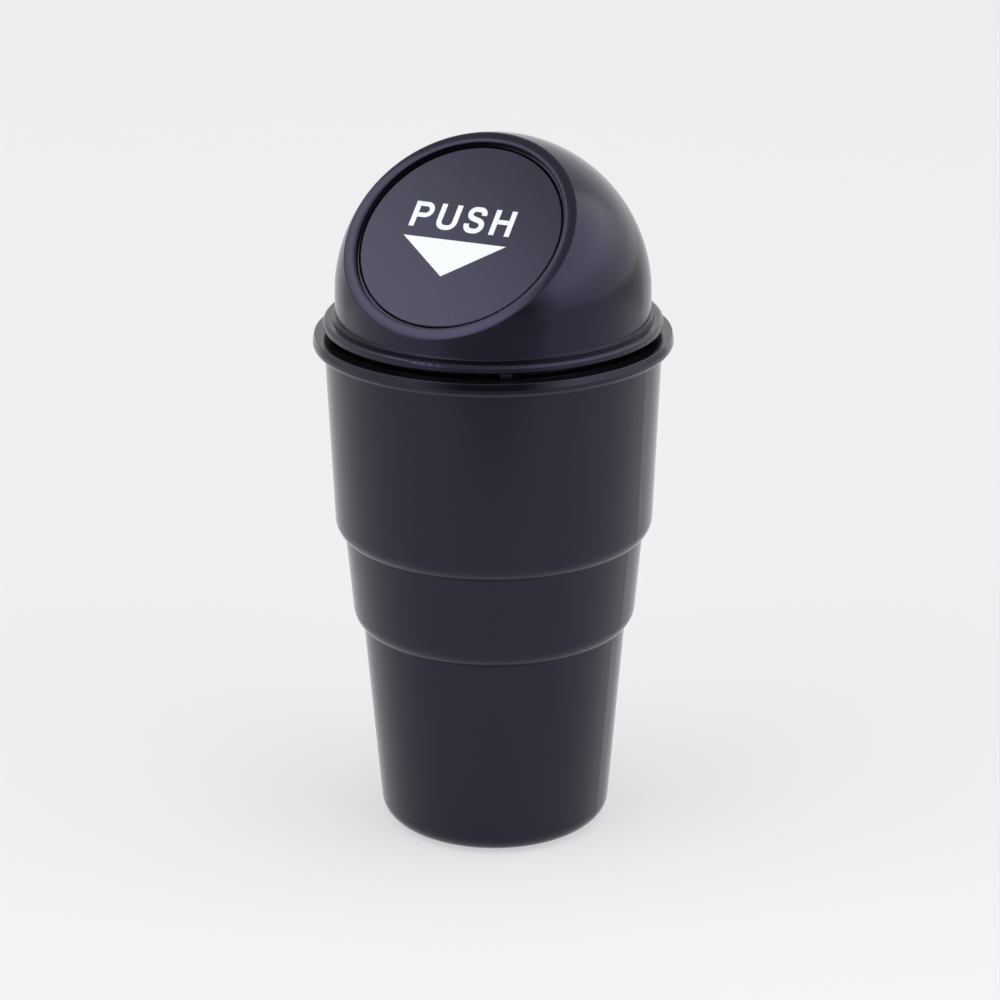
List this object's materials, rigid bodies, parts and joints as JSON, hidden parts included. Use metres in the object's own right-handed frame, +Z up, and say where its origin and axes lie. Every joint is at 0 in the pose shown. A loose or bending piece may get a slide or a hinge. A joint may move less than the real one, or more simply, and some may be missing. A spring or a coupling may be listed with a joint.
{
  "type": "car waste bin",
  "caption": "Stepped round car waste bin with a push-in dome lid and a tilted spring-return push flap; its narrow lower part drops into a cup holder.",
  "frame": {"origin": "centre of the cup's base, on the surface it stands on", "axes": "+Z up the cup's axis, the flap faces -Y, +X is to the right seen from the flap's side"},
  "size_m": [0.092, 0.092, 0.1839],
  "materials": {
    "cup_plastic": "satin black moulding",
    "lid_plastic": "semi-gloss black moulding",
    "flap_plastic": "fine matt black moulding",
    "pin_steel": "drawn steel",
    "spring_steel": "drawn spring wire"
  },
  "bodies": {
    "cup": {"bin_cup": "cup_plastic"},
    "lid": {"dome_lid": "lid_plastic", "hinge_pin": "pin_steel", "return_spring": "spring_steel"},
    "flap": {"push_flap": "flap_plastic"}
  },
  "joints": [
    {"name": "lid_lift", "type": "slide", "parent": "cup", "child": "lid", "axis": [0, 0, 1], "range_m": [0, 0.06]},
    {"name": "flap_hinge", "type": "hinge", "parent": "lid", "child": "flap", "pos_m": [0, 0.00194, 0.17375], "axis": [1, 0, 0], "range_deg": [0, 75], "stiffness_Nm_per_rad": 0.006, "springref_deg": -68.75, "deforming": ["return_spring"]}
  ]
}
